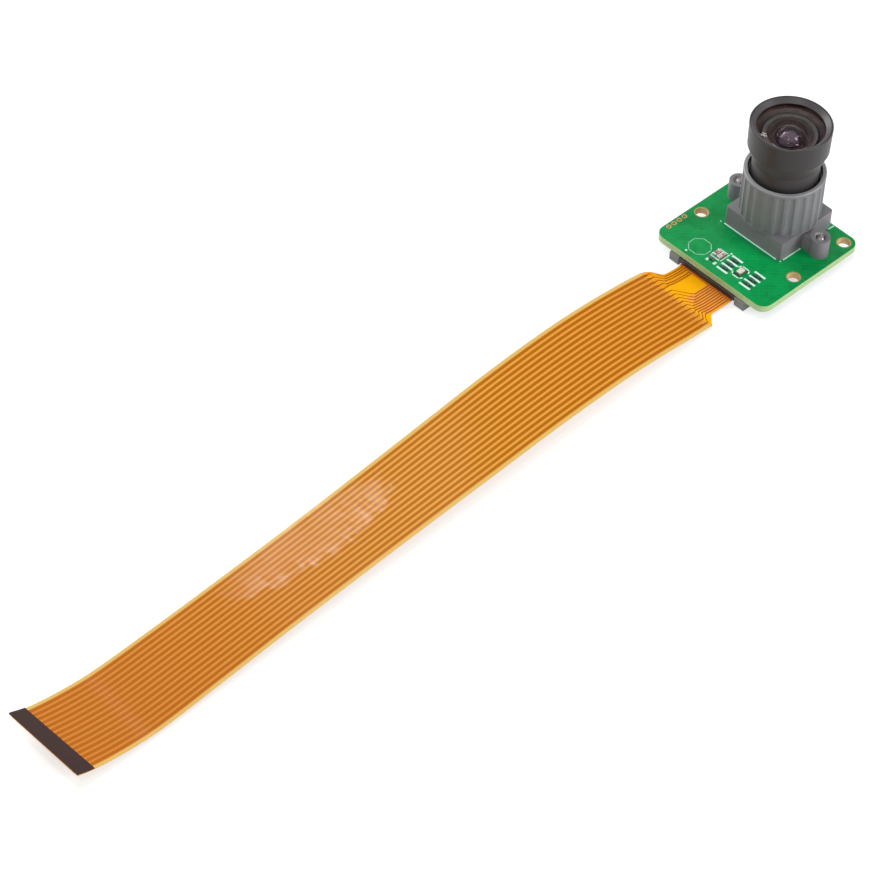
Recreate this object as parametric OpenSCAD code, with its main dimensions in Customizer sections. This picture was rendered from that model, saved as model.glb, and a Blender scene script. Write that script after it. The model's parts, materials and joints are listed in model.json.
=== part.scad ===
// Board camera with a screw-in lens and a free flat cable.
// Origin: centre of the four mounting holes, on the underside of the board.
// +Z runs along the lens axis towards the front glass, and -Y is the connector edge.

/* [Board] */
// Width of the board along the connector edge
board_w = 25; // [24.5:0.5:30]
// Length of the board from the connector edge to the back edge
board_l = 24; // [24:0.5:28]
// Thickness of the board
board_t = 1.2; // [1:0.1:1.6]
// Radius of the board's corners
board_corner = 2; // [1:0.5:2.2]
// Spacing of the mounting holes across the board
hole_pitch_x = 21; // [20:0.5:21]
// Spacing of the mounting holes along the board
hole_pitch_y = 12.5; // [12:0.5:13]
// Distance of the back pair of mounting holes from the back edge
hole_back = 2; // [1.8:0.1:2.4]
// Diameter of the mounting holes
hole_d = 2.2; // [2:0.1:2.4]

/* [Lens] */
// Distance of the lens axis from the back edge of the board
lens_back = 7; // [6.8:0.1:7.4]
// Diameter of the thread that screws into the holder
thread_d = 12; // [12:0.1:12.1]
// Radial clearance between the lens thread and the holder
thread_gap = 0.03; // [0.02:0.01:0.05]
// Diameter of the wide front of the lens
head_d = 13.9; // [13.6:0.1:14.4]
// Diameter of the smooth neck between the head and the thread
neck_d = 11.5; // [11.2:0.1:11.7]
// Height of the front rim of the lens over the board's underside, in focus
lens_top = 23.85; // [23.8:0.05:24.4]

/* [Holder] */
// Side of the holder's square base
base_w = 12.7; // [12.4:0.1:13]
// Height of the holder's base above the board
base_h = 3.7; // [3.5:0.1:3.9]
// Outer diameter of the fluted tube
tube_d = 13.9; // [13.8:0.1:14.4]
// Height of the tube's rim over the board's underside
tube_top = 13.85; // [13.7:0.05:14.3]
// Number of flutes round the tube
flute_count = 24; // [16:1:28]
// Depth of each flute
flute_depth = 0.3; // [0.15:0.05:0.35]
// Spacing of the two screw bosses, through the lens axis
boss_pitch = 18.5; // [18.3:0.1:18.8]
// Diameter of each screw boss
boss_d = 3.4; // [3.2:0.1:3.6]
// Height of each screw boss above the board
boss_h = 3.7; // [3.5:0.1:4]

/* [Connector] */
// Number of contacts
contact_count = 22; // [20:1:22]
// Spacing of the contacts
contact_pitch = 0.5; // [0.5:0.01:0.5]
// Overall width of the connector
conn_w = 16.8; // [16.6:0.1:17.2]
// Depth of the connector below the board
conn_h = 2; // [2:0.05:2.2]
// Reach of the latch beyond the board's edge when closed
latch_reach = 0.3; // [0.2:0.05:0.4]

/* [Cable] */
// Width of the flat cable
cable_w = 16; // [15.8:0.1:16.2]
// Width of its narrow tail in the connector
tail_w = 11.5; // [11.4:0.1:11.6]
// Thickness of the cable's film
film_t = 0.15; // [0.12:0.01:0.16]
// Thickness of the stiffeners on its ends
stiff_t = 0.15; // [0.1:0.01:0.16]
// Number of contact fingers at the free end
end_fingers = 15; // [10:1:15]
// Spacing of the fingers at the free end
end_pitch = 1; // [1:0.01:1]

/* [Hidden] */

// Board: the mounting pattern is centred on the origin
board_back = hole_pitch_y / 2 + hole_back;
board_front = board_back - board_l;
board_mid = (board_back + board_front) / 2;
land_hole_d = 0.6;
land_pitch = 1.27;
land_x = -11.75;
land_first_y = -9.15;
screw_hole_d = 2;

// Lens axis and the radii that the lens and holder share
lens_y = board_back - lens_back;
thread_r = thread_d / 2;
bore_r = thread_r + thread_gap;
head_r = head_d / 2;
neck_r = neck_d / 2;
tube_r = tube_d / 2;
stack_bore_r = 4.3;
stack_r = 4.25;
glass_r = 6;

// Heights inside the holder, over the board's underside
cavity_top = board_t + 1.7;
filter_seat = cavity_top + 0.4;
filter_t = 0.3;
filter_w = 7.2;
chamber_r = 5.2;
thread_start = 5.7;
base_top = board_t + base_h;
lip_r = 6.3;
lip_depth = 1.5;

// Heights of the lens's own features, over the board's underside
nose_z = 5.6;
nose_top = 6.9;
thread_top = 12.4;
cone_z = 16.4;
head_z = 19.2;
shelf_z = lens_top - 3.55;
seat_r = 4.65;
seat_z = lens_top - 1.85;
ring_seat_z = lens_top - 1.5;
ring_r = 6.65;
lip_in_r = 5.75;

// Heights in the stack of glass and spacers, from the rear lip upwards
lip_z = 6.4;
rear_top = 8.6;
third_z = 13.4;
third_top = 15.6;
stop_top = 16.2;
second_z = 18.2;
second_top = 19.4;

// Connector, measured along Y from the board's front edge
latch_front = board_front - latch_reach;
mouth_y = board_front + 0.5;
notch_y = board_front + 1.9;
slot_end_y = board_front + 3.55;
housing_rear = board_front + 4.8;
ear_in = 6.4;
mouth_half = 5.9;
cable_z = -1.45;

// The cable's route: x, y, z and the roll about its own length in degrees
ROUTE = [
    [0, -12.5, -1.45, 0], [0, -15, -1.45, 0], [0, -17.5, -1.45, 0], [0, -20.2, -1.2, -1.5],
    [-0.05, -21.5, -0.95, -2], [-0.1, -22.8, -0.7, -2.6], [0.1, -28, 0.15, -4], [0.4, -36, 1.3, -4],
    [0.8, -46, 2.2, -3.3], [1.2, -60, 2.2, -1.5], [1.7, -75, 1.6, 1.4], [2.1, -90, 0.8, 4.2],
    [2.5, -104, 0.1, 5.9], [3, -119, -0.4, 6.4], [3.4, -133, -1, 5.4], [3.75, -146, -1.35, 3.8],
    [3.85, -153, -0.65, 3], [3.83, -158.7, 0.45, 2.6], [3.75, -161.7, 1.5, 2.2]];
steps = 4;
rings = steps * (len(ROUTE) - 1);
tail_rings = steps;
end_rings = steps;
// Where the left and right edges step out from the tail to the full width
shoulder_left = [20.2, 21.5];
shoulder_right = [20.2, 22.8];

// ---- Shared shapes ----

// Plate with rounded corners, centred on the origin
module rounded_plate(w, l, h, r) {
    linear_extrude(h) {
        square([w - 2 * r, l], center = true);
        square([w, l - 2 * r], center = true);
        for (x = [-1, 1], y = [-1, 1])
            translate([x * (w / 2 - r), y * (l / 2 - r)]) circle(r, $fn = 48);
    }
}

// Profile in the YZ plane, carried along X from x0 to x1
module along_x(x0, x1, points) {
    translate([x0, 0, 0]) rotate([90, 0, 90]) linear_extrude(x1 - x0) polygon(points);
}

// Turned piece on the lens axis from its half section of radii and heights
module turned(points, sides = 96) {
    translate([0, lens_y, 0]) rotate_extrude($fn = sides) polygon(points);
}

// Spherical cap of a lens surface, from its edge to the axis; a negative sag hollows it
function cap(r, z, sag, n = 8) =
    let (ball = (r * r + sag * sag) / (2 * abs(sag)), s = sign(sag))
    [for (i = [0:n]) let (x = r * cos(90 * i / n)) [x, z + s * (sqrt(ball * ball - x * x) - (ball - abs(sag)))]];

function reversed(v) = [for (i = [len(v) - 1:-1:0]) v[i]];

// Chip part lying along X with a metal cap at each end
module chip(l, w, h, cap_l) {
    skin = 0.03;
    translate([-l / 2 + cap_l / 2, -w / 2 + skin, 0]) cube([l - cap_l, w - 2 * skin, h - skin]);
    for (x = [-l / 2, l / 2 - cap_l]) translate([x, -w / 2, 0]) cube([cap_l, w, h]);
}

// ---- Board and its front parts ----

module circuit_board() {
    color("seagreen") difference() {
        translate([0, board_mid, 0]) rounded_plate(board_w, board_l, board_t, board_corner);
        for (x = [-1, 1], y = [-1, 1])
            translate([x * hole_pitch_x / 2, y * hole_pitch_y / 2, -1]) cylinder(d = hole_d, h = board_t + 2, $fn = 48);
        for (x = [-1, 1])
            translate([x * boss_pitch / 2, lens_y, -1]) cylinder(d = screw_hole_d, h = board_t + 2, $fn = 32);
        for (i = [0:3])
            translate([land_x, land_first_y - i * land_pitch, -1])
                cylinder(d = land_hole_d, h = board_t + 2, $fn = 24);
    }
}

module front_resistors() {
    color("#202022") {
        for (x = [1.35, 6.45], i = [0:2])
            translate([x, -10.75 - i * 1.27, board_t]) chip(1, 0.5, 0.35, 0.2);
        translate([-1.5, -13.35, board_t]) chip(1, 0.5, 0.35, 0.2);
    }
}

module front_capacitors() {
    color("#b09a86")
        for (x = [-1.88, -0.94])
            translate([x, -11.6, board_t]) rotate([0, 0, 90]) chip(1.6, 0.8, 0.45, 0.35);
}

module clock_crystal() {
    color("silver") translate([3.85, -12, board_t]) {
        linear_extrude(0.25) square([1.2, 1.6], center = true);
        translate([0, 0, 0.25]) rounded_plate(0.95, 1.3, 0.2, 0.15);
    }
}

// ---- Parts on the back of the board ----

module back_resistors() {
    color("#202022")
        for (x = [-3, -1.5, 0, 1.5, 3])
            translate([x, 5.6, 0]) rotate([180, 0, 90]) chip(1, 0.5, 0.35, 0.2);
}

module back_capacitors() {
    color("#b09a86") {
        for (x = [-8.4, -2.4, 2.4, 8.4])
            translate([x, -6.4, 0]) rotate([180, 0, 90]) chip(1.6, 0.8, 0.8, 0.35);
        for (x = [-3, -1, 1, 3])
            translate([x, 1.6, 0]) rotate([180, 0, 90]) chip(1, 0.5, 0.5, 0.25);
    }
}

// Small regulator on five gull-wing leads, hanging under the board
module regulator() {
    body = [2.9, 1.6, 1.05];
    translate([-body[0] / 2, -body[1] / 2, -body[2] - 0.05]) cube(body);
    for (x = [-0.95, 0, 0.95])
        along_x(x - 0.2, x + 0.2, [[-0.7, -0.65], [-1.05, -0.65], [-1.15, -0.15], [-1.45, -0.15],
            [-1.45, 0], [-1, 0], [-0.9, -0.5], [-0.7, -0.5]]);
    for (x = [-0.95, 0.95])
        along_x(x - 0.2, x + 0.2, [[0.7, -0.65], [0.7, -0.5], [0.9, -0.5], [1, 0],
            [1.45, 0], [1.45, -0.15], [1.15, -0.15], [1.05, -0.65]]);
}

module voltage_regulators() {
    color("#262628") for (x = [-5.4, 5.4]) translate([x, -6.4, 0]) regulator();
}

// ---- Holder ----

module boss(x) {
    web_w = 2.6;
    web_h = 3;
    translate([x, lens_y, board_t]) cylinder(d = boss_d, h = boss_h, $fn = 48);
    translate([min(x, sign(x) * 5.6), lens_y - web_w / 2, board_t]) cube([abs(x) - 5.6, web_w, web_h]);
}

module flutes() {
    cutter_r = 1;
    translate([0, lens_y, 0])
        for (i = [0:flute_count - 1])
            rotate([0, 0, (i + 0.5) * 360 / flute_count])
                translate([tube_r + cutter_r - flute_depth, 0, base_top + 0.1])
                    cylinder(r = cutter_r, h = tube_top - base_top - 0.7, $fn = 32);
}

// Hollow of the holder: sensor cavity, window, filter seat, chamber, thread and mouth
module holder_hollow() {
    cavity_w = 9.8;
    seat_w = filter_w + 0.1;
    window_r = 3.3;
    translate([0, lens_y, 0]) {
        translate([-cavity_w / 2, -cavity_w / 2, 0]) cube([cavity_w, cavity_w, cavity_top]);
        cylinder(r = window_r, h = thread_start, $fn = 64);
        translate([-seat_w / 2, -seat_w / 2, filter_seat]) cube([seat_w, seat_w, 1]);
        translate([0, 0, filter_seat + filter_t]) cylinder(r = chamber_r, h = 3, $fn = 64);
        translate([0, 0, thread_start]) cylinder(r = bore_r, h = tube_top, $fn = 96);
        translate([0, 0, tube_top - lip_depth]) cylinder(r = lip_r, h = lip_depth + 1, $fn = 96);
    }
}

module lens_holder() {
    rim_round = 0.15;
    pilot_r = 0.8;
    color("#58595c") difference() {
        union() {
            translate([0, lens_y, board_t]) rounded_plate(base_w, base_w, base_h, 0.4);
            turned([[0, base_top - 1.3], [base_w / 2 - 0.3, base_top - 1.3], [tube_r, base_top - 0.15],
                [tube_r, tube_top - rim_round], [tube_r - rim_round, tube_top], [0, tube_top]]);
            for (side = [-1, 1]) boss(side * boss_pitch / 2);
        }
        flutes();
        holder_hollow();
        for (side = [-1, 1]) translate([side * boss_pitch / 2, lens_y, 0]) {
            cylinder(r = pilot_r, h = 10, $fn = 32);
            translate([0, 0, board_t + boss_h - 0.35]) cylinder(r1 = 0.7, r2 = 1.15, h = 0.4, $fn = 32);
        }
    }
}

module holder_screws() {
    head = [[0, -1.2], [1.1, -1.2], [1.6, -0.95], [1.8, -0.5], [1.8, 0]];
    shank = [[0.78, 0], [0.78, 4.55], [0.5, 4.9], [0.2, 5], [0, 5]];
    color("silver") for (side = [-1, 1])
        translate([side * boss_pitch / 2, lens_y, 0]) difference() {
            rotate_extrude($fn = 32) polygon(concat(head, shank));
            for (a = [0, 90]) rotate([0, 0, a]) translate([-0.9, -0.18, -1.3]) cube([1.8, 0.36, 0.7]);
        }
}

module ir_filter() {
    color("#9fb6c8") translate([-filter_w / 2, lens_y - filter_w / 2, filter_seat])
        cube([filter_w, filter_w, filter_t]);
}

// ---- Sensor ----

module sensor_package() {
    outer = [8.6, 7.8, 0.7];
    pocket = [6.8, 5.8];
    floor_t = 0.25;
    color("#3a3a3c") translate([0, lens_y, board_t]) difference() {
        translate([-outer[0] / 2, -outer[1] / 2, 0]) cube(outer);
        translate([-pocket[0] / 2, -pocket[1] / 2, floor_t]) cube([pocket[0], pocket[1], 1]);
    }
}

module sensor_die() {
    color("#4a3f5c") translate([-2.9, lens_y - 2.3, board_t + 0.25]) cube([5.8, 4.6, 0.25]);
}

module sensor_cover() {
    color("#c8d8dc") translate([-3.9, lens_y - 3.5, board_t + 0.7]) cube([7.8, 7, 0.4]);
}

// ---- Lens: barrel and front ring ----

module lens_barrel() {
    edge = 0.12;
    color("#2c2c2e") turned([
        [3.5, nose_z], [5, nose_z], [5, nose_top], [neck_r, nose_top], [thread_r, nose_top + 0.25],
        [thread_r, thread_top - 0.25], [neck_r, thread_top], [neck_r, cone_z], [head_r - 0.1, head_z],
        [head_r, lens_top - edge], [head_r - edge, lens_top], [ring_r + 0.1, lens_top],
        [ring_r + 0.05, lens_top - 0.05], [ring_r + 0.05, ring_seat_z], [glass_r + 0.05, ring_seat_z],
        [glass_r + 0.05, seat_z - 0.05], [seat_r + 0.1, shelf_z], [stack_bore_r, shelf_z],
        [stack_bore_r, lip_z], [3.5, lip_z]], 128);
}

module front_retaining_ring() {
    color("#3a3a3d") turned([
        [glass_r + 0.1, ring_seat_z + 0.02], [ring_r, ring_seat_z + 0.02], [ring_r, lens_top - 0.1],
        [ring_r - 0.08, lens_top - 0.04], [lip_in_r, lens_top - 0.7], [lip_in_r, lens_top - 0.85],
        [glass_r + 0.1, lens_top - 0.85]], 128);
}

// ---- Lens: glass, spacers and stop, from the front to the rear ----

module front_element() {
    front_z = lens_top - 0.95;
    color("#7a5a86") turned(concat(
        reversed(cap(3.6, shelf_z, 2.2)),
        [[seat_r, shelf_z], [glass_r, seat_z], [glass_r, front_z - 0.1]],
        cap(lip_in_r - 0.05, front_z, 0.75)));
}

module front_spacer() {
    color("#232324") turned([[3.2, second_top], [stack_r, second_top], [stack_r, shelf_z - 0.05],
        [4, shelf_z - 0.05], [3.9, shelf_z - 0.35], [3.6, shelf_z - 0.45], [3.3, second_top + 0.4]]);
}

module second_element() {
    color("#5b3b78") turned(concat(
        reversed(cap(2.4, second_z, 0.8)),
        [[stack_r, second_z], [stack_r, second_top]],
        cap(3.1, second_top, 1.7)));
}

module middle_spacer() {
    color("#232324") turned([[2.9, stop_top], [stack_r, stop_top], [stack_r, second_z], [2.9, second_z]]);
}

module aperture_stop() {
    color("#1b1b1c") turned([[1.3, third_top], [stack_r, third_top], [stack_r, stop_top], [2.2, stop_top]]);
}

module third_element() {
    color("#8fa6b4") turned(concat(
        reversed(cap(3.2, third_z, -0.6)),
        [[stack_r, third_z], [stack_r, third_top]],
        cap(2.8, third_top, -0.3)));
}

module rear_spacer() {
    color("#232324") turned([[3.4, rear_top], [stack_r, rear_top], [stack_r, third_z], [3.4, third_z]]);
}

module rear_element() {
    color("#8fa6b4") turned(concat(
        reversed(cap(3, lip_z, 0.6)),
        [[stack_r, lip_z], [stack_r, rear_top]],
        cap(3.2, rear_top, 0.8)));
}

// ---- Connector under the front edge ----

module connector_housing() {
    front_half = ear_in - 0.1;
    rail_in = ear_in + 0.05;
    color("#3c3b39") difference() {
        union() {
            translate([-conn_w / 2, notch_y, -conn_h]) cube([conn_w, housing_rear - notch_y, conn_h]);
            along_x(-front_half, front_half, [[mouth_y, -0.1], [mouth_y, -conn_h + 0.1],
                [mouth_y + 0.1, -conn_h], [notch_y, -conn_h], [notch_y, 0], [mouth_y + 0.1, 0]]);
        }
        translate([-mouth_half, mouth_y - 1, -1.75]) cube([2 * mouth_half, slot_end_y - mouth_y + 1, 1.4]);
        for (x = [-rail_in - 0.75, rail_in])
            translate([x, notch_y - 1, -1.3]) cube([0.75, slot_end_y - notch_y + 1, 0.6]);
    }
}

module latch_ear() {
    along_x(ear_in, conn_w / 2, [[latch_front, -0.25], [latch_front, -conn_h + 0.25],
        [latch_front + 0.2, -conn_h + 0.05], [notch_y - 0.1, -conn_h + 0.05], [notch_y - 0.1, -0.08],
        [latch_front + 0.17, -0.08]]);
    translate([ear_in + 0.1, notch_y - 0.2, -1.25]) cube([0.65, slot_end_y - notch_y, 0.5]);
}

module connector_latch() {
    tongue_half = tail_w / 2;
    color("#2e2e31") {
        along_x(-ear_in - 0.01, ear_in + 0.01, [[latch_front + 0.02, -0.2], [latch_front + 0.02, -1],
            [latch_front + 0.17, -1.15], [mouth_y - 0.05, -1.15], [mouth_y - 0.05, -0.08],
            [latch_front + 0.14, -0.08]]);
        along_x(-tongue_half, tongue_half, [[mouth_y - 0.1, -1.15], [mouth_y, -1.2], [slot_end_y - 1.4, -1.2],
            [slot_end_y - 0.8, -0.9], [slot_end_y - 0.8, -0.4], [mouth_y - 0.1, -0.4]]);
        latch_ear();
        mirror([1, 0, 0]) latch_ear();
    }
}

// Each contact is one bent strip: foot on the board, leg through the rear wall, beam under the cable
module connector_contacts() {
    strip_w = 0.2;
    foot_y = housing_rear + 0.6;
    color("#d9b36a")
        for (i = [0:contact_count - 1])
            let (x = (i - (contact_count - 1) / 2) * contact_pitch)
                along_x(x - strip_w / 2, x + strip_w / 2, [[foot_y, 0], [housing_rear + 0.05, 0],
                    [slot_end_y + 0.2, -1.6], [mouth_y + 1.1, -1.6], [mouth_y + 0.9, -1.57],
                    [mouth_y + 0.7, -1.57], [mouth_y + 0.4, -1.63], [mouth_y + 0.4, -1.74],
                    [slot_end_y + 0.3, -1.74], [housing_rear + 0.15, -0.13], [foot_y, -0.13]]);
}

module connector_tabs() {
    color("#c9c9cc") for (side = [0, 1]) mirror([side, 0, 0])
        translate([conn_w / 2, notch_y + 0.4, 0]) {
            translate([0, 0, -1.1]) cube([0.2, 1.8, 1.1]);
            translate([0, 0, -0.18]) cube([0.8, 1.8, 0.18]);
        }
}

// ---- Flat cable ----

// Chord length along the route up to each of its points
function chord_to(i) = i == 0 ? 0 : chord_to(i - 1) + norm([for (k = [0:2]) ROUTE[i][k] - ROUTE[i - 1][k]]);
CHORD = [for (i = [0:len(ROUTE) - 1]) chord_to(i)];

// Slope of the route at one of its points
function slope(i) =
    let (a = max(i - 1, 0), b = min(i + 1, len(ROUTE) - 1))
    (ROUTE[b] - ROUTE[a]) / (CHORD[b] - CHORD[a]);

// Place and roll on the smooth curve through the route's points
function station(n) =
    let (i = min(floor(n / steps), len(ROUTE) - 2), t = n / steps - i, h = CHORD[i + 1] - CHORD[i])
    (2 * t ^ 3 - 3 * t ^ 2 + 1) * ROUTE[i] + (t ^ 3 - 2 * t ^ 2 + t) * h * slope(i)
    + (3 * t ^ 2 - 2 * t ^ 3) * ROUTE[i + 1] + (t ^ 3 - t ^ 2) * h * slope(i + 1);

function place(n) = let (s = station(n)) [s[0], s[1], s[2]];
function unit(v) = v / norm(v);

// Directions at a station: across the cable, and out of its upper face
function frame(n) =
    let (a = max(n - 0.5, 0), b = min(n + 0.5, rings), roll = station(n)[3],
        along = unit(place(b) - place(a)), flat = unit(cross([0, 0, 1], along)), up = cross(along, flat))
    [cos(roll) * flat + sin(roll) * up, cos(roll) * up - sin(roll) * flat];

// Half width of the cable to the left or right of its middle
function half_width(n, shoulder) =
    lookup(-station(n)[1], [[shoulder[0], tail_w / 2], [shoulder[1], cable_w / 2]]);

// Strip lying in the cable between two stations, from z0 to z1 over its middle
module strip(first, last, left, right, z0, z1) {
    count = last - first + 1;
    points = [for (n = [first:last]) let (f = frame(n), c = place(n))
        each [c - left(n) * f[0] + z0 * f[1], c + right(n) * f[0] + z0 * f[1],
            c + right(n) * f[0] + z1 * f[1], c - left(n) * f[0] + z1 * f[1]]];
    sides = [for (n = [0:count - 2], k = [0:3]) let (a = 4 * n + k, b = 4 * n + (k + 1) % 4)
        each [[a, b, b + 4], [a, b + 4, a + 4]]];
    polyhedron(points, concat([[3, 2, 1, 0]], sides, [[for (k = [0:3]) 4 * count - 4 + k]]), convexity = 8);
}

module flat_cable() {
    color("#e0902a") strip(0, rings, function(n) half_width(n, shoulder_left),
        function(n) half_width(n, shoulder_right), -film_t / 2, film_t / 2);
}

// Row of contact fingers on the cable's lower face
module fingers(first, last, count, pitch, finger_w) {
    finger_t = 0.035;
    for (i = [0:count - 1])
        let (x = (i - (count - 1) / 2) * pitch)
            strip(first, last, function(n) finger_w / 2 - x, function(n) x + finger_w / 2,
                -film_t / 2 - finger_t, -film_t / 2);
}

module tail_stiffener() {
    color("#c77a2a") strip(0, tail_rings + 2, function(n) tail_w / 2, function(n) tail_w / 2,
        film_t / 2, film_t / 2 + stiff_t);
}

module tail_fingers() {
    color("gold") fingers(0, tail_rings, contact_count, contact_pitch, 0.3);
}

module end_stiffener() {
    color("#4a2a20") strip(rings - end_rings, rings, function(n) cable_w / 2, function(n) cable_w / 2,
        film_t / 2, film_t / 2 + stiff_t);
}

module end_contacts() {
    color("gold") fingers(rings - end_rings, rings, end_fingers, end_pitch, 0.6);
}

circuit_board();
lens_holder();
holder_screws();
ir_filter();
sensor_package();
sensor_die();
sensor_cover();
lens_barrel();
front_retaining_ring();
front_element();
front_spacer();
second_element();
middle_spacer();
aperture_stop();
third_element();
rear_spacer();
rear_element();
connector_housing();
connector_latch();
connector_contacts();
connector_tabs();
front_resistors();
front_capacitors();
clock_crystal();
back_resistors();
back_capacitors();
voltage_regulators();
flat_cable();
tail_stiffener();
tail_fingers();
end_stiffener();
end_contacts();
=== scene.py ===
"""Board camera with a screw-in lens and a free flat cable: its looks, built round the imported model."""

import json
import math

import bmesh
import bpy
import numpy as np
from bpy.props import FloatProperty, FloatVectorProperty, IntProperty, PointerProperty
from mathutils import Matrix, Vector

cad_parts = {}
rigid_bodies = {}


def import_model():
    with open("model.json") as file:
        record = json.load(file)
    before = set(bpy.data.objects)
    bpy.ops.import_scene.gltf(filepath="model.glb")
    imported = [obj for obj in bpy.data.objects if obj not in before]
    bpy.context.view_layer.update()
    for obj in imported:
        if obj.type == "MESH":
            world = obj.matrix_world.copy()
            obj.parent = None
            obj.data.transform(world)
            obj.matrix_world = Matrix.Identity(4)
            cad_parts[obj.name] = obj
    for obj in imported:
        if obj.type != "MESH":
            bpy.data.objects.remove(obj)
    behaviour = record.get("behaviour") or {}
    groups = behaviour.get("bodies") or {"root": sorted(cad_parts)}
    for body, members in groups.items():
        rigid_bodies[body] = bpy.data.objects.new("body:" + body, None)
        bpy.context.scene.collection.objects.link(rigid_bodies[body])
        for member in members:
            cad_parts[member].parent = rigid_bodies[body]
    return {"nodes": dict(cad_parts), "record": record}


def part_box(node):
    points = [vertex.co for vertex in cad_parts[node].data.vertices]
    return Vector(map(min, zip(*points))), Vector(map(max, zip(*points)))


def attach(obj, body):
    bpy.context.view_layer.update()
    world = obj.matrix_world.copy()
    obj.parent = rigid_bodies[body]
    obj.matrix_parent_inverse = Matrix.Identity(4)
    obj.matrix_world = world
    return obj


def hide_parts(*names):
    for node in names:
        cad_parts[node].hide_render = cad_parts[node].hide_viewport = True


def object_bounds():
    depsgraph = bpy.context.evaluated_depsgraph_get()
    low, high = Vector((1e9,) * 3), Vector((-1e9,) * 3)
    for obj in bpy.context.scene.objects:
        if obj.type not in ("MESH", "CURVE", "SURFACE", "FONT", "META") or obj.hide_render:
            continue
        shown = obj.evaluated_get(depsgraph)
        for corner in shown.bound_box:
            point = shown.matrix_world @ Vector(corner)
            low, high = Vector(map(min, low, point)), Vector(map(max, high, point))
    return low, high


bl_info = {
    "name": "Board camera looks",
    "version": (1, 0, 0),
    "blender": (4, 5, 0),
    "location": "3D View > Sidebar > Board camera",
    "description": "Dresses the packed board camera with its cable, print, plating, chips and finishes",
    "category": "Object",
}

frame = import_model()
CAD_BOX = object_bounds()
MM = 0.001
BOARD_LOW, BOARD_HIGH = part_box("circuit_board")
BARREL_LOW, BARREL_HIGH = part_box("lens_barrel")
LENS_Y = (BARREL_LOW.y + BARREL_HIGH.y) / 2
HOLES = next(m for m in frame["record"]["mounts"] if m["name"] == "board_holes")["dims"]

# What follows is in millimetres.
# The four test holes in a row at the board's left edge
LAND_PITCH = 1.27
LANDS = [(-11.75, -9.15 - LAND_PITCH * i) for i in range(4)]
LAND_RADIUS = 0.3
# Boxes on the board where the lacquer is darker, as x0, x1, y0, y1: between the printed marks, and along
# the front of the holder's foot, where the darkening is painted shadow
DARK_FIELDS = (
    (0.5, 2.25, -13.8, -10.2),
    (5.6, 7.35, -13.8, -10.2),
    (3.1, 4.6, -11.35, -10.9),
    (3.1, 4.6, -13.1, -12.65),
)
FOOT_SHADOW_BOX = (-6.5, 6.5, -6.1, -5.2)
# Top of the holder's square foot, and the barrel's cone between its neck and its head, painted lighter as
# painted light
FOOT_TOP = 4.9
CONE_LOW, CONE_HIGH, NECK_RADIUS = 16.6, 19.0, 5.4


def rgb(red, green, blue):
    """A colour written as 0 to 255 on screen, as the linear numbers that a shader takes."""
    return tuple(
        c / 12.92 if c <= 0.04045 else ((c + 0.055) / 1.055) ** 2.4
        for c in (red / 255, green / 255, blue / 255)
    )


# ---- Settings ----


def colour(name, what, *shade):
    return FloatVectorProperty(
        name=name, description="Colour of " + what, subtype="COLOR", size=3, min=0, max=1,
        default=rgb(*shade),
    )


def length(name, description, default, low=0.0):
    return FloatProperty(
        name=name, description=description, subtype="DISTANCE", unit="LENGTH", precision=5, min=low,
        default=default,
    )


def power(name, what, default):
    return FloatProperty(name=name, description="Power of the " + what, subtype="POWER", default=default)


def point(name, description, *default):
    return FloatVectorProperty(
        name=name, description=description, subtype="XYZ", unit="LENGTH", precision=4, default=default
    )


class BoardCameraView(bpy.types.PropertyGroup):
    """Camera, floor and lamps."""

    place: point("Place", "Where the camera stands", 0.27979, -0.36886, 0.43006)
    aim: point("Aim", "The point on the floor that the camera looks at", -0.00529, -0.07342, -0.002)
    roll: FloatProperty(
        name="Roll", description="Turn of the camera about its own line of sight", subtype="ANGLE",
        default=math.radians(3.04),
    )
    lens: FloatProperty(
        name="Lens", description="Focal length on a 36 mm sensor, in millimetres", unit="CAMERA",
        default=154.51,
    )
    floor: colour("Floor", "the floor", 246, 246, 246)
    floor_size: length("Floor size", "Side of the square floor", 6.0, 1.0)
    ambient: FloatProperty(
        name="Ambient", description="Strength of the even light from all round", default=0.38
    )
    right: power("Right lamp", "soft lamp on the right", 4.6)
    left: power("Left lamp", "soft lamp on the left", 5.4)
    top: power("Front lamp", "small high lamp in front", 1.2)
    crown: power("Crown lamp", "small lamp overhead", 1.3)
    sheen: power("Sheen lamp", "lamp that the cable mirrors", 0.18)


class BoardCameraBoard(bpy.types.PropertyGroup):
    """Circuit board, print, plating and chips."""

    mask: colour("Solder mask", "the green lacquer", 0, 130, 64)
    mask_track: colour("Mask over copper", "the lacquer where copper lies under it", 0, 148, 74)
    # Darker lacquer, also used as painted shadow along the front of the holder's foot
    dark_mask_and_shadow: colour("Mask over laminate", "the lacquer where no copper lies under it", 18, 84, 62)
    laminate: colour("Laminate", "the cut edge", 172, 200, 146)
    ink: colour("Print", "the printed marks", 192, 230, 210)
    gold: colour("Plating", "the plated copper", 214, 186, 120)
    dull_gold: colour("Worn plating", "the thin plating round the holes", 166, 158, 104)
    bore: colour("Hole wall", "the plated wall of each hole", 216, 188, 142)
    tin: colour("Tin", "the tinned ends", 196, 196, 192)
    solder: colour("Solder", "the resistors' dull ends", 74, 96, 84)
    resistor: colour("Resistor glaze", "the resistors' tops", 42, 84, 68)
    ceramic: colour("Capacitor", "the capacitors' ceramic", 196, 174, 164)
    ceramic_dark: colour("Capacitor, dark", "the darker spots of the ceramic", 124, 86, 82)
    ink_t: length("Print thickness", "How far the print stands proud", 0.00002)
    plating_t: length("Plating thickness", "How far the plating stands proud", 0.00003)
    ring_band: length("Plated band", "Width of the plating round each mounting hole", 0.00018)
    land_band: length("Test land band", "Width of the plating round each test hole", 0.0002)
    corner: length("Corner radius", "Radius of the board's corners", 0.002)


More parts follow.
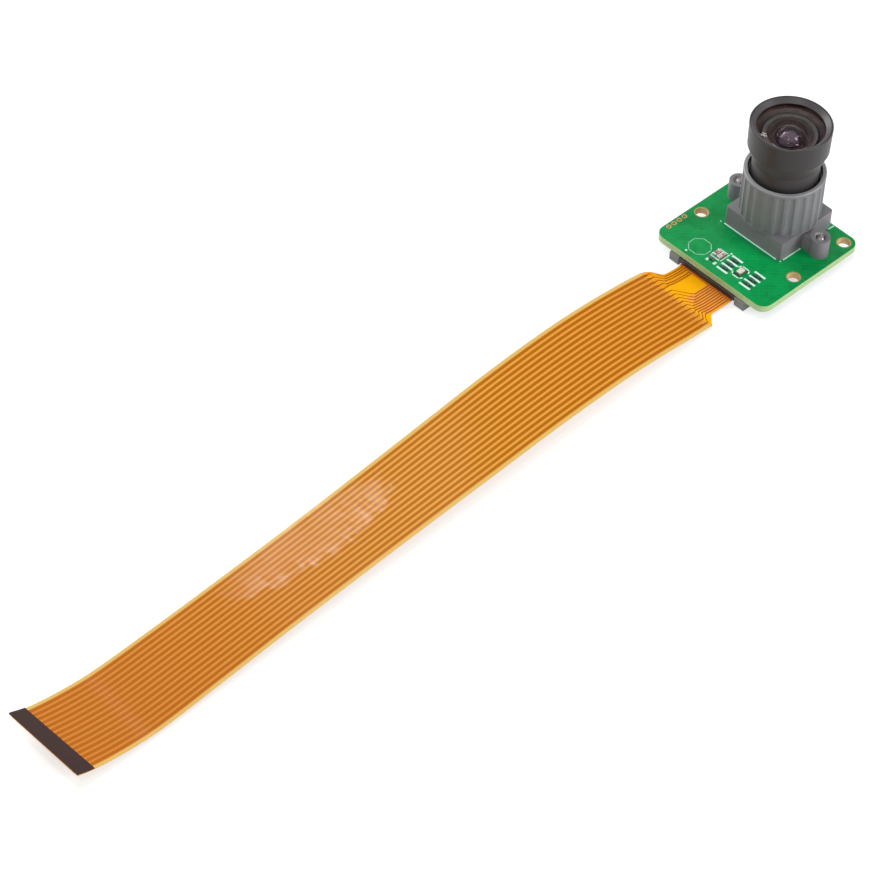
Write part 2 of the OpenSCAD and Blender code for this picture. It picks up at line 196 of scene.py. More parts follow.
class BoardCameraLens(bpy.types.PropertyGroup):
    """Holder, barrel and glass."""

    holder: colour("Holder", "the moulded holder", 110, 111, 114)
    barrel: colour("Barrel", "the anodised barrel", 58, 56, 56)
    ring: colour("Front ring", "the ring round the front glass", 66, 62, 64)
    blacking: colour("Blacking", "the spacers inside the lens", 52, 28, 24)
    land: colour("Glass land", "the spacer's face under the front glass", 88, 92, 84)
    edge_ink: colour("Edge ink", "the ink on the front glass's rim", 50, 18, 13)
    # Painted reflections: the rim's ink turns purple towards +x, and has brighter streaks
    edge_ink_reflection: colour("Edge ink, second", "the rim's ink on its other side", 38, 26, 40)
    edge_glint: colour("Edge glow", "the brighter streaks in the rim's ink", 128, 66, 50)
    glass: colour("Glass", "the glass itself", 240, 234, 232)
    coating: colour("Coating", "the reflections on the front glass", 92, 78, 84)
    inner_coating: colour("Inner coating", "the reflections on the inner glass", 170, 96, 220)


class BoardCameraCable(bpy.types.PropertyGroup):
    """Flat cable."""

    width: length("Width", "Width of the cable", 0.016)
    tail: length("Tail width", "Width of the cable's tail in the connector", 0.0115)
    film_t: length("Film thickness", "Thickness of the film", 0.00015)
    track_t: length("Track relief", "How far the tracks lift the film", 0.000018)
    track_w: length("Track width", "Width of each track along the cable", 0.00054)
    fine_w: length("Fine track width", "Width of each track at the tail", 0.0002)
    reach: length("Length", "Length from the connector to the free end", 0.15)
    tracks: IntProperty(name="Tracks", description="Number of tracks", default=15, min=3, max=20)
    film: colour("Film", "the film between the tracks", 213, 151, 62)
    film_far: colour("Film, far end", "the film towards the free end", 191, 121, 50)
    margin: colour("Margin", "the bare film along the edges", 204, 176, 104)
    bare: colour("Bare film", "the bare film at the tail", 230, 162, 6)
    track: colour("Track", "the copper under the film", 163, 97, 8)
    track_near: colour("Track, near end", "the copper near the board", 156, 76, 0)
    track_far: colour("Track, far end", "the copper towards the free end", 168, 92, 20)
    dense: colour("Dense copper", "the film over much copper", 200, 112, 30)
    crowd: colour("Crowded film", "the film where fine tracks crowd together", 222, 138, 66)
    fine: colour("Fine track", "the fine tracks at the tail", 142, 78, 4)
    stiffener: colour("Stiffener", "the free end's stiffener", 44, 24, 20)


GROUPS = {
    "board_camera_view": BoardCameraView,
    "board_camera_board": BoardCameraBoard,
    "board_camera_lens": BoardCameraLens,
    "board_camera_cable": BoardCameraCable,
}


def settings(group):
    return getattr(bpy.context.scene, "board_camera_" + group)


# ---- Node trees ----


class Graph:
    """A node tree that is built up call by call."""

    def __init__(self, tree):
        self.tree = tree

    def node(self, kind, settings=None, sockets=None, out=None):
        """A node of that type: its settings first, then the values or links of its sockets."""
        made = self.tree.nodes.new(kind)
        for name, value in (settings or {}).items():
            setattr(made, name, value)
        for name, value in (sockets or {}).items():
            self.feed(self.pick(made.inputs, name), value)
        return self.pick(made.outputs, out) if out is not None else made

    @staticmethod
    def pick(sockets, name):
        if isinstance(name, int):
            return sockets[name]
        return next(s for s in sockets if s.name == name and s.enabled)

    def feed(self, socket, value):
        value = value.socket if isinstance(value, Value) else value
        if isinstance(value, bpy.types.NodeSocket):
            self.tree.links.new(value, socket)
        elif socket.type == "RGBA":
            socket.default_value = (*value, 1.0) if len(value) == 3 else value
        else:
            socket.default_value = value

    def math(self, operation, *terms):
        made = self.node("ShaderNodeMath", {"operation": operation}, dict(enumerate(terms)), 0)
        return Value(self, made)

    def stretch(self, vector, factor):
        return self.node("ShaderNodeVectorMath", {"operation": "SCALE"}, {0: vector, "Scale": factor}, 0)

    def blend(self, share, first, second):
        """The first shader where the share is 0, and the second where it is 1."""
        return self.node("ShaderNodeMixShader", sockets={0: share, 1: first, 2: second}, out=0)

    def background_seen(self):
        """1 for rays that show a background: the camera's, and those off metal and through glass."""
        path = self.node("ShaderNodeLightPath")
        camera, glossy, through = (
            Value(self, path.outputs[f"Is {kind} Ray"]) for kind in ("Camera", "Glossy", "Transmission")
        )
        return camera.most(glossy).most(through)


class Value:
    """A number in a node tree. Expressions on it add Math nodes."""

    def __init__(self, graph, socket):
        self.graph, self.socket = graph, socket

    def math(self, operation, *others):
        return self.graph.math(operation, self, *others)

    def __add__(self, other):
        return self.math("ADD", other)

    def __sub__(self, other):
        return self.math("SUBTRACT", other)

    def __rsub__(self, other):
        return self.graph.math("SUBTRACT", other, self)

    def __mul__(self, other):
        return self.math("MULTIPLY", other)

    def __truediv__(self, other):
        return self.math("DIVIDE", other)

    __radd__, __rmul__ = __add__, __mul__

    def __abs__(self):
        return self.math("ABSOLUTE")

    def most(self, other):
        return self.math("MAXIMUM", other)

    def length(self, other):
        """Length of the line whose two sides are this and the other."""
        return (self * self + other * other).math("POWER", 0.5)

    def above(self, edge, soft=0.02):
        """0 below the edge and 1 above it, with a soft step."""
        limits = {"Value": self, "From Min": edge - soft, "From Max": edge + soft}
        return Value(
            self.graph,
            self.graph.node("ShaderNodeMapRange", {"interpolation_type": "SMOOTHSTEP"}, limits, "Result"),
        )

    def below(self, edge, soft=0.02):
        return 1 - self.above(edge, soft)


class Paint(Graph):
    """A material on Principled BSDF. Places are in millimetres in the part's own frame."""

    def __init__(self, name):
        self.material = bpy.data.materials.new(name)
        self.material.use_nodes = True
        super().__init__(self.material.node_tree)
        self.tree.nodes.clear()
        self.place = self.stretch(self.node("ShaderNodeTexCoord", out="Object"), 1 / MM)
        self.x, self.y, self.z = self.split(self.place)

    def split(self, vector):
        return [Value(self, s) for s in self.node("ShaderNodeSeparateXYZ", sockets={0: vector}).outputs]

    def moved(self, turn=0.0, scale=(1, 1, 1)):
        """The place after a Mapping node, to turn or stretch a pattern."""
        return self.node(
            "ShaderNodeMapping", {"vector_type": "TEXTURE"},
            {"Vector": self.place, "Rotation": (0, 0, turn), "Scale": scale}, 0,
        )

    def noise(self, scale, detail=3.0, roughness=0.5, place=None):
        made = self.node(
            "ShaderNodeTexNoise", {"noise_dimensions": "3D"},
            {"Vector": place or self.place, "Scale": scale, "Detail": detail, "Roughness": roughness},
            "Fac",
        )
        return Value(self, made)

    def cells(self, scale, feature="F1", place=None):
        sockets = {"Vector": place or self.place, "Scale": scale}
        return Value(self, self.node("ShaderNodeTexVoronoi", {"feature": feature}, sockets, "Distance"))

    def radius(self, x=0.0, y=LENS_Y / MM):
        """Distance from an upright line, the lens axis if no other is named."""
        return (self.x - x).length(self.y - y)

    def inside(self, x0, x1, y0, y1, soft=0.06):
        """1 inside an upright box and 0 outside it."""
        across = self.x.above(x0, soft) * self.x.below(x1, soft)
        return across * self.y.above(y0, soft) * self.y.below(y1, soft)

    def mix(self, share, first, second):
        return self.node(
            "ShaderNodeMix", {"data_type": "RGBA", "blend_type": "MIX"},
            {"Factor": share, "A": first, "B": second}, "Result",
        )

    def over(self, body, *layers):
        """A colour with others laid over it in turn, each as (share, colour)."""
        for share, shade in layers:
            body = self.mix(share, body, shade)
        return body

    def shade(self, base, share, low=0.85, high=1.1):
        """The colour made darker or lighter by a share."""
        return self.mix(share, tuple(c * low for c in base), tuple(min(1.0, c * high) for c in base))

    def bump(self, height, distance):
        """A relief, its distance in millimetres."""
        sockets = {"Height": height, "Distance": distance * MM, "Strength": 1.0}
        return self.node("ShaderNodeBump", sockets=sockets, out="Normal")

    def surface(self, colour, roughness=0.5, **sockets):
        """A Principled BSDF with these sockets."""
        names = {"Base Color": colour, "Roughness": roughness}
        names.update((k.replace("_", " "), v) for k, v in sockets.items())
        return self.node("ShaderNodeBsdfPrincipled", sockets=names, out="BSDF")

    def end(self, surface):
        self.node("ShaderNodeOutputMaterial", sockets={"Surface": surface})
        return self.material

    def finish(self, colour, roughness=0.5, **sockets):
        return self.end(self.surface(colour, roughness, **sockets))


class Builder(Graph):
    """A Geometry Nodes tree with named inputs."""

    def __init__(self, name, **inputs):
        super().__init__(bpy.data.node_groups.new(name, "GeometryNodeTree"))
        self.socket("Geometry", "Geometry")
        self.ids = {
            key: self.socket(key.replace("_", " "), kind).identifier for key, kind in inputs.items()
        }
        self.socket("Geometry", "Geometry", "OUTPUT")
        given = self.tree.nodes.new("NodeGroupInput")
        self.geometry = given.outputs["Geometry"]
        self.given = {key: Value(self, given.outputs[key.replace("_", " ")]) for key in inputs}

    def socket(self, name, kind, side="INPUT"):
        return self.tree.interface.new_socket(name, in_out=side, socket_type="NodeSocket" + kind)

    def step(self, kind, out="Geometry", settings=None, **sockets):
        """A Geometry Nodes node by its short name."""
        names = {key.replace("_", " "): value for key, value in sockets.items()}
        return self.node("GeometryNode" + kind, settings, names, out)

    def attribute(self, name, kind="FLOAT"):
        return Value(self, self.step("InputNamedAttribute", "Attribute", {"data_type": kind}, Name=name))

    def join(self, *parts):
        whole = self.node("GeometryNodeJoinGeometry")
        for part in parts:
            self.tree.links.new(part, whole.inputs[0])
        return whole.outputs[0]

    def end(self, geometry):
        """Ends the tree: real geometry, in the given material."""
        real = self.step("RealizeInstances", Geometry=geometry)
        done = self.step("SetMaterial", Geometry=real, Material=self.given["Material"])
        self.tree.links.new(done, self.tree.nodes.new("NodeGroupOutput").inputs[0])
        return self

    def make(self, name, guide, **values):
        """Runs the tree on a guide mesh and returns the plain mesh as a piece."""
        helper = link(bpy.data.objects.new(name + ".guide", guide))
        modifier = helper.modifiers.new(name, "NODES")
        modifier.node_group = self.tree
        for key, value in values.items():
            modifier[self.ids[key]] = value
        bpy.context.view_layer.update()
        ready = helper.evaluated_get(bpy.context.evaluated_depsgraph_get())
        mesh = bpy.data.meshes.new_from_object(ready)
        if not mesh.polygons:
            raise RuntimeError(f"{name} came out empty")
        helper.modifiers.clear()
        bpy.data.objects.remove(helper)
        mesh.name = name
        if not mesh.materials:
            mesh.materials.append(values["Material"])
        return link(bpy.data.objects.new(name, mesh))


def strip_builder():
    """Guide lines with the point attributes side, up and half become flat closed strips."""
    tree = Builder("Laid strip", Thickness="Float", Material="Material")
    side, up = tree.attribute("side", "FLOAT_VECTOR"), tree.attribute("up", "FLOAT_VECTOR")
    half = tree.attribute("half")
    edge = tree.step("SetPosition", Geometry=tree.geometry, Offset=tree.stretch(side, half * -1.0))
    width, rise = tree.stretch(side, half * 2.0), tree.stretch(up, tree.given["Thickness"])
    flat = tree.step("ExtrudeMesh", "Mesh", {"mode": "EDGES"}, Mesh=edge, Offset=width, Offset_Scale=1.0)
    tall = tree.step(
        "ExtrudeMesh", "Mesh", {"mode": "FACES"}, Mesh=flat, Offset=rise, Offset_Scale=1.0,
        Individual=False,
    )
    under = tree.step("FlipFaces", "Mesh", Mesh=flat)
    return tree.end(tree.step("MergeByDistance", Geometry=tree.join(tall, under), Distance=1e-7))


def repeat_builder():
    """Points with the attributes turn and size each carry a copy of one part."""
    tree = Builder("Repeated part", Part="Object", Scale="Float", Material="Material")
    part = tree.step("ObjectInfo", settings={"transform_space": "ORIGINAL"}, Object=tree.given["Part"])
    turn, size = (tree.attribute(name, "FLOAT_VECTOR") for name in ("turn", "size"))
    turn = tree.node("FunctionNodeEulerToRotation", sockets={"Euler": turn}, out="Rotation")
    size = tree.stretch(size, tree.given["Scale"])
    return tree.end(tree.step(
        "InstanceOnPoints", "Instances", Points=tree.geometry, Instance=part, Rotation=turn, Scale=size
    ))


def ring_builder():
    """Points each carry a flat plated ring, on both faces of the board."""
    tree = Builder(
        "Plated rings", Hole_radius="Float", Band="Float", Thickness="Float", Board="Float",
        Material="Material",
    )
    band, thickness = tree.given["Band"], tree.given["Thickness"]
    middle = tree.given["Hole_radius"] + band * 0.5
    circle = tree.step("CurvePrimitiveCircle", "Curve", Resolution=64, Radius=middle)
    profile = tree.step("CurvePrimitiveQuadrilateral", "Curve", Width=band, Height=thickness)
    ring = tree.step("CurveToMesh", "Mesh", Curve=circle, Profile_Curve=profile)
    rise = thickness * 0.5
    pair = []
    for height in (tree.given["Board"] + rise, rise * -1.0):
        lift = tree.node("ShaderNodeCombineXYZ", sockets={"Z": height}, out=0)
        pair.append(tree.step("Transform", Geometry=ring, Translation=lift))
    pair = tree.join(*pair)
    return tree.end(tree.step("InstanceOnPoints", "Instances", Points=tree.geometry, Instance=pair))


# ---- Meshes ----


def link(obj):
    bpy.context.scene.collection.objects.link(obj)
    return obj


def piece(name, points, faces, material):
    mesh = bpy.data.meshes.new(name)
    mesh.from_pydata([tuple(p) for p in points], [], faces)
    mesh.materials.append(material)
    mesh.validate()
    return link(bpy.data.objects.new(name, mesh))


def guide(points, edges=(), **attributes):
    """A mesh of points and edges with point attributes, for a Geometry Nodes tree."""
    mesh = bpy.data.meshes.new("guide")
    mesh.from_pydata([tuple(p) for p in points], list(edges), [])
    for name, values in attributes.items():
        values = np.asarray(values, np.float32)
        kind, field = ("FLOAT", "value") if values.ndim == 1 else ("FLOAT_VECTOR", "vector")
        mesh.attributes.new(name, kind, "POINT").data.foreach_set(field, values.ravel())
    return mesh


def smooth(obj, angle=35):
    """Turns the faces of a closed piece outwards, and rounds the shading apart from its sharp edges."""
    work = bmesh.new()
    work.from_mesh(obj.data)
    bmesh.ops.recalc_face_normals(work, faces=work.faces)
    work.normal_update()
    for face in work.faces:
        face.smooth = True
    for edge in work.edges:
        edge.smooth = len(edge.link_faces) == 2 and edge.calc_face_angle(0.0) < math.radians(angle)
    work.to_mesh(obj.data)
    work.free()
    return obj


def settle(obj, body):
    """Finishes a piece: attaches it to the body that it rides on."""
    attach(obj, body)
    return obj


def cap(radius, height, rise, steps=24):
    """A spherical cap's profile from its edge to the axis, as (radius, height) in millimetres."""
    ball = (radius**2 + rise**2) / (2 * abs(rise))
    line = [radius * math.cos(math.pi / 2 * k / steps) for k in range(steps)] + [0.0]
    return [(r, height + math.copysign(math.sqrt(ball**2 - r**2) - ball + abs(rise), rise)) for r in line]


def turned(name, profile, material, segments=144):
    """A closed solid turned about the lens axis. Its profile, in millimetres, starts and ends there."""
    points = [(0, LENS_Y, profile[0][1] * MM), (0, LENS_Y, profile[-1][1] * MM)]
    rows = profile[1:-1]
    for radius, height in rows:
        for k in range(segments):
            turn = 2 * math.pi * k / segments
            x, y = radius * MM * math.cos(turn), LENS_Y + radius * MM * math.sin(turn)
            points.append((x, y, height * MM))
    faces = []
    last = 2 + (len(rows) - 1) * segments
    for k in range(segments):
        n = (k + 1) % segments
        faces += [(0, 2 + n, 2 + k), (1, last + k, last + n)]
        faces += [(b + k, b + n, b + segments + n, b + segments + k) for b in range(2, last, segments)]
    return smooth(piece(name, points, faces, material), 30)


def solids(node):
    """The boxes of a CAD node's separate solids, each as (lowest corner, highest corner)."""
    mesh = frame["nodes"][node].data
    places = [tuple(round(c, 7) for c in v.co) for v in mesh.vertices]
    leader = {p: p for p in places}

    def root(p):
        while leader[p] != p:
            leader[p] = leader[leader[p]]
            p = leader[p]
        return p

    for face in mesh.polygons:
        first = root(places[face.vertices[0]])
        for v in face.vertices[1:]:
            leader[root(places[v])] = first
    groups = {}
    for p in leader:
        groups.setdefault(root(p), []).append(p)
    return sorted(
        (Vector(np.min(g, axis=0)), Vector(np.max(g, axis=0))) for g in groups.values()
    )


def bevelled_box(low, high, bevel, segments=2):
    """A box with rounded edges, as a mesh."""
    mesh = bpy.data.meshes.new("box")
    low, high = Vector(low), Vector(high)
    work = bmesh.new()
    bmesh.ops.create_cube(work, size=1)
    for v in work.verts:
        v.co = Vector(low[k] + (v.co[k] + 0.5) * (high[k] - low[k]) for k in range(3))
    bmesh.ops.bevel(
        work, geom=work.edges[:], offset=bevel, segments=segments, profile=0.6, affect="EDGES",
        clamp_overlap=True,
    )
    work.to_mesh(mesh)
    work.free()
    return mesh


def joined(meshes):
    work = bmesh.new()
    for mesh in meshes:
        work.from_mesh(mesh)
    out = bpy.data.meshes.new("joined")
    work.to_mesh(out)
    work.free()
    return out


def repeat(name, points, size, part, material, turn=None):
    """Copies of a part's mesh at points, each with its own size and turn."""
    source = link(bpy.data.objects.new(name + ".part", part))
    mesh = guide(points, size=size, turn=turn or [(0, 0, 0)] * len(points))
    made = repeat_builder().make(name, mesh, Part=source, Scale=1.0, Material=material)
    bpy.data.objects.remove(source)
    return made


def repaint(node, material):
    """A CAD node takes a new material in its own slots."""
    mesh = frame["nodes"][node].data
    if not mesh.materials:
        mesh.materials.append(material)
    for i in range(len(mesh.materials)):
        mesh.materials[i] = material


# ---- The cable's route ----

# Millimetres: x, y, z, and the roll about its own length in degrees
ROUTE = np.array([
    (0, -12.5, -1.45, 0), (0, -15, -1.45, 0), (0, -17.5, -1.45, 0), (0, -20.2, -1.2, -1.5),
    (-0.05, -21.5, -0.95, -2), (-0.1, -22.8, -0.7, -2.6), (0.1, -28, 0.15, -4), (0.4, -36, 1.3, -4),
    (0.8, -46, 2.2, -3.3), (1.2, -60, 2.2, -1.5), (1.7, -75, 1.6, 1.4), (2.1, -90, 0.8, 4.2),
    (2.5, -104, 0.1, 5.9), (3, -119, -0.4, 6.4), (3.4, -133, -1, 5.4), (3.75, -146, -1.35, 3.8),
    (3.85, -153, -0.65, 3), (3.83, -158.7, 0.45, 2.6), (3.75, -161.7, 1.5, 2.2),
], float)
CHORD = np.concatenate([[0], np.cumsum(np.linalg.norm(np.diff(ROUTE[:, :3], axis=0), axis=1))])
# Distances along the cable: where its left and right edges widen from the tail, where it leaves
# the latch, and where the stiffener starts
LEFT_SHOULDER = (7.7, 11.0)
RIGHT_SHOULDER = (7.7, 10.5)
LATCH_AT = 3.65
STIFFENER_AT = CHORD[-2]
# Longest steps along the film, the tracks, and the path along the cable
FILM_STEP, TRACK_STEP, PATH_STEP = 0.6, 1.2, 4


def slope(i):
    a, b = max(i - 1, 0), min(i + 1, len(ROUTE) - 1)
    return (ROUTE[b] - ROUTE[a]) / (CHORD[b] - CHORD[a])


def station(along):
    """Place and roll on the smooth curve, at a distance along the route's chords."""
    i = min(max(int(np.searchsorted(CHORD, along, side="right")) - 1, 0), len(ROUTE) - 2)
    h = CHORD[i + 1] - CHORD[i]
    t = (along - CHORD[i]) / h
    return (
        (2 * t**3 - 3 * t**2 + 1) * ROUTE[i]
        + (t**3 - 2 * t**2 + t) * h * slope(i)
        + (3 * t**2 - 2 * t**3) * ROUTE[i + 1]
        + (t**3 - t**2) * h * slope(i + 1)
    )


def lie(along, reach=0.5):
    """Middle, direction across and direction out of the upper face, at a distance along the cable."""
    here = station(along)
    ahead = station(min(along + reach, CHORD[-1]))[:3] - station(max(along - reach, 0))[:3]
    ahead /= np.linalg.norm(ahead)
    flat = np.cross((0, 0, 1), ahead)
    flat /= np.linalg.norm(flat)
    up = np.cross(ahead, flat)
    roll = math.radians(here[3])
    return (
        here[:3] * MM,
        math.cos(roll) * flat + math.sin(roll) * up,
        math.cos(roll) * up - math.sin(roll) * flat,
    )


def half_width(along, shoulder, sizes):
    """Distance from the cable's middle to the edge that has this shoulder."""
    share = min(max((along - shoulder[0]) / (shoulder[1] - shoulder[0]), 0), 1)
    share *= share * (3 - 2 * share)
    return (sizes.tail + (sizes.width - sizes.tail) * share) / 2


def ride_stations(start, stop, step, extra=()):
    """Distances along the cable from start to stop, with the route's own points among them."""
    marks = [start, stop, *extra, *(c for c in CHORD if start < c < stop)]
    marks = sorted(set(round(m, 4) for m in marks))
    out = []
    for a, b in zip(marks, marks[1:]):
        count = max(1, math.ceil((b - a) / step))
        out += [a + (b - a) * k / count for k in range(count)]
    return out + [marks[-1]]


# Where the first five tracks run in the tail, in millimetres across
TAIL_LEFT = (-5.25, -4.75, -4.3, -3.6, -3.15)


def track_line(i, sizes):
    """One track as (along, across, half width) stations in millimetres."""
    middle = (sizes.tracks - 1) / 2
    wide = i - middle
    left = len(TAIL_LEFT)
    fine, broad = sizes.fine_w / MM / 2, sizes.track_w / MM / 2
    tail = TAIL_LEFT[i] if i < left else 0.75 + 0.5 * (i - left)
    bend = 10.1 - 0.08 * i if i < left else 9.75 + 0.1 * (i - left)
    opens = 10.4 + 0.09 * i
    return [
        (LATCH_AT, tail, fine),
        (bend - abs(wide - tail), tail, fine),
        (bend, wide, fine),
        (opens, wide, fine),
        (opens + 0.3, wide, broad),
        (STIFFENER_AT, wide, broad),
    ]


# ---- Finishes ----


def grained(name, shade, scale, detail, low, high, stretch=None):
    """A paint, its grain, and its colour, which the grain makes darker or lighter."""
    paint = Paint(name)
    grain = paint.noise(scale, detail, place=stretch and paint.moved(scale=stretch))
    return paint, grain, paint.shade(shade, grain, low, high)


def gold_paint(name, shade, metallic=1.0):
    paint, wear, body = grained(name, shade, 3.0, 4, 0.8, 1.1)
    return paint.finish(body, wear * 0.2 + 0.24, Metallic=metallic, Normal=paint.bump(wear, 0.004))


def tin_paint(name):
    paint, dull, body = grained(name, settings("board").tin, 4.0, 4, 0.82, 1.08)
    return paint.finish(body, dull * 0.25 + 0.25, Metallic=1.0, Normal=paint.bump(dull, 0.01))


def film_gloss(paint):
    """The film is glossier in one long patch. Its outline is ragged, and brighter on one side."""
    middle_x, middle_y, half_x, half_y = -1.2, -105, 6.5, 22
    across = (paint.x - middle_x) / half_x
    along = (paint.y - middle_y) / half_y
    ragged = paint.noise(0.16, 4, 0.65) * 0.8 + paint.noise(0.45, 5, 0.7) * 1.6
    field = 2.2 - along * along - across * across - ragged
    border = field.above(0.4, 0.1) * field.below(0.75, 0.15) * across.above(-0.2, 0.6)
    wisps = paint.noise(0.7, 4, 0.7, paint.moved(0.04, (3, 0.4, 1))).above(0.5, 0.1)
    return field.above(0.5, 0.3) * (wisps * 0.08 + 0.03) + border * (wisps * 0.1 + 0.05) + 0.02


def film_finish(paint, body):
    """The shine and the slight waves that the film has over bare places and over copper alike."""
    waves = paint.bump(paint.noise(0.12, 2, place=paint.moved(scale=(1, 3, 1))), 0.25)
    return paint.finish(
        body, 0.45, Specular_IOR_Level=0.04, Coat_Weight=film_gloss(paint), Coat_Roughness=0.12,
        Normal=waves,
    )


def film_paint():
    """Amber film: paler at its edges, bare and bright at the tail, and denser where copper crowds."""
    tint = settings("cable")
    tail_end, margin_from = 10.6, 7.42
    paint = Paint("film")
    across, along, _ = paint.split(paint.node("ShaderNodeUVMap", out="UV"))
    across = (across - 0.5) * (tint.width / MM)
    along = along * CHORD[-1]
    tail = along.below(tail_end, 0.9)
    crowd = tail * along.below(9.2, 1.4) * across.above(0.5, 0.4) * across.below(5.6, 0.2)
    margin = abs(across).above(margin_from, 0.16) * (1 - tail)
    body = paint.over(
        tint.film,
        # The film is darker towards the free end, and darker near the board
        (along.above(110, 45), tint.film_far),
        (along.below(32, 34) * 0.4, tint.dense),
        (paint.noise(0.35, 3) * 0.16, tint.dense),
        (tail, tint.bare),
        (crowd * 0.9, tint.crowd),
        (tail * across.below(-2.9, 0.3) * 0.45, tint.dense),
        (margin, paint.mix(paint.noise(0.08, 2) * 0.5, tint.margin, tint.film)),
    )
    return film_finish(paint, body)


def track_paint():
    """Copper seen through the film."""
    tint = settings("cable")
    paint = Paint("track")
    body = paint.over(
        tint.track,
        # The tracks are darker towards the free end, and darker near the board
        (paint.y.below(-120, 40), tint.track_far),
        (paint.y.above(-46, 34) * 0.45, tint.track_near),
        (paint.noise(0.5, 3) * 0.14, tint.dense),
        (paint.y.above(-23.5, 0.6) * 0.8, tint.fine),
    )
    return film_finish(paint, body)


# ---- Printed marks ----


def polyline(points, closed=False):
    ends = list(zip(points, points[1:]))
    return ends + [(points[-1], points[0])] if closed else ends


def chamfered(x0, x1, y0, y1, cut):
    return [
        (x0 + cut, y0), (x1 - cut, y0), (x1, y0 + cut), (x1, y1 - cut),
        (x1 - cut, y1), (x0 + cut, y1), (x0, y1 - cut), (x0, y0 + cut),
    ]


# Printed marks on the board, in millimetres: straight strokes as (from, to, width)
STROKES = [
    *(
        ((x0, y), (x1, y), 0.42)
        for x0, x1 in ((0.4, 2.35), (5.5, 7.45))
        for y in (-10.1, -11.4, -12.65, -13.9)
    ),
    ((-6.0, -5.3), (5.5, -5.3), 0.26),
    ((6.53, -4.39), (6.6, -0.4), 0.24),
    ((6.57, 6.84), (6.63, 8.0), 0.2),
    *((a, b, 0.12) for a, b in polyline(chamfered(-6.87, -3.02, -14.4, -10.7, 1.1), True)),
    *((a, b, 0.24) for a, b in polyline([(2.8, -11.25), (3.05, -10.7), (4.65, -10.7), (4.9, -11.25)])),
    *((a, b, 0.24) for a, b in polyline([(2.8, -12.8), (3.05, -13.35), (4.65, -13.35), (4.9, -12.8)])),
    *(
        (a, b, 0.14)
        for a, b in polyline([(-2.45, -12.5), (-2.45, -10.4), (-0.42, -10.4), (-0.42, -12.5)], True)
    ),
    ((-0.3, -12.4), (-0.3, -10.5), 0.34),
    ((-2.4, -12.62), (-0.6, -12.62), 0.24),
    ((-2.09, -13.7), (-2.09, -13.85), 0.5),
    ((-0.55, -13.55), (-0.55, -13.75), 0.5),
]
# Printed dots as (x, y, diameter)
DOTS = [(-6.87, -5.39, 0.26), (6.46, -5.11, 0.26), (-0.2, -9.9, 0.38), (-5.9, -14.9, 0.42)]


# ---- Operators ----


class BOARDCAMERA_OT_camera(bpy.types.Operator):
    """Set the camera"""

    bl_idname = "board_camera.camera"
    bl_label = "Camera"

    def execute(self, context):
        view = settings("view")
        data = bpy.data.cameras.new("camera")
        data.lens, data.sensor_width = view.lens, 36.0
        data.clip_start, data.clip_end = 0.01, 20.0
        obj = link(bpy.data.objects.new("camera", data))
        towards = (Vector(view.aim) - Vector(view.place)).to_track_quat("-Z", "Y").to_matrix().to_4x4()
        obj.matrix_world = Matrix.Translation(view.place) @ towards @ Matrix.Rotation(view.roll, 4, "Z")
        context.scene.camera = obj
        return {"FINISHED"}


class BOARDCAMERA_OT_cable(bpy.types.Operator):
    bl_idname = "board_camera.cable"
    bl_label = "Flat cable"

    def execute(self, context):
        sizes = settings("cable")
        film = self.film(sizes)
        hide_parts("flat_cable")
        tracks = self.tracks(sizes)
        path = [station(along)[:3] * MM for along in ride_stations(LATCH_AT - 0.1, CHORD[-1], PATH_STEP)]
        return {"FINISHED"}

    @staticmethod
    def film(sizes):
        """The film: one closed ring of points at each station, its upper and its lower face."""
        marks = ride_stations(0, CHORD[-1], FILM_STEP, np.linspace(*LEFT_SHOULDER, 15))
        columns = 16
        points, uvs = [], []
        for along in marks:
            middle, side, up = lie(along)
            left = half_width(along, LEFT_SHOULDER, sizes)
            right = half_width(along, RIGHT_SHOULDER, sizes)
            row = [-left + (left + right) * k / columns for k in range(columns + 1)]
            for height, order in ((1, row), (-1, row[::-1])):
                for across in order:
                    points.append(middle + side * across + up * height * sizes.film_t / 2)
                    uvs.append((across / sizes.width + 0.5, along / CHORD[-1]))
        ring = 2 * (columns + 1)
        last = (len(marks) - 1) * ring
        faces = [
            (base + k, base + (k + 1) % ring, base + ring + (k + 1) % ring, base + ring + k)
            for base in range(0, last, ring)
            for k in range(ring)
        ]
        for base, turn in ((0, -1), (last, 1)):
            for k in range(columns):
                quad = (base + k, base + k + 1, base + ring - 2 - k, base + ring - 1 - k)
                faces.append(quad[::turn])
        film = piece("cable_film", points, faces, film_paint())
        layer = film.data.uv_layers.new(name="UVMap")
        for loop in film.data.loops:
            layer.data[loop.index].uv = uvs[loop.vertex_index]
        return settle(smooth(film, 40), "module")

    @staticmethod
    def tracks(sizes):
        """The tracks: flat strips along guide lines that lie just inside the film's upper face."""
        points, edges, side, up, half = [], [], [], [], []
        depth = sizes.film_t * 0.49
        for i in range(sizes.tracks):
            marks, offsets, halves = np.array(track_line(i, sizes)).T
            for n, along in enumerate(ride_stations(marks[0], marks[-1], TRACK_STEP, tuple(marks))):
                middle, right, out = lie(along)
                if n:
                    edges.append((len(points) - 1, len(points)))
                points.append(middle + right * np.interp(along, marks, offsets) * MM + out * depth)
                side.append(right)
                up.append(out)
                half.append(np.interp(along, marks, halves) * MM)
        mesh = guide(points, edges, side=side, up=up, half=half)
        made = strip_builder().make("cable_tracks", mesh, Thickness=sizes.track_t, Material=track_paint())
        return settle(smooth(made), "module")


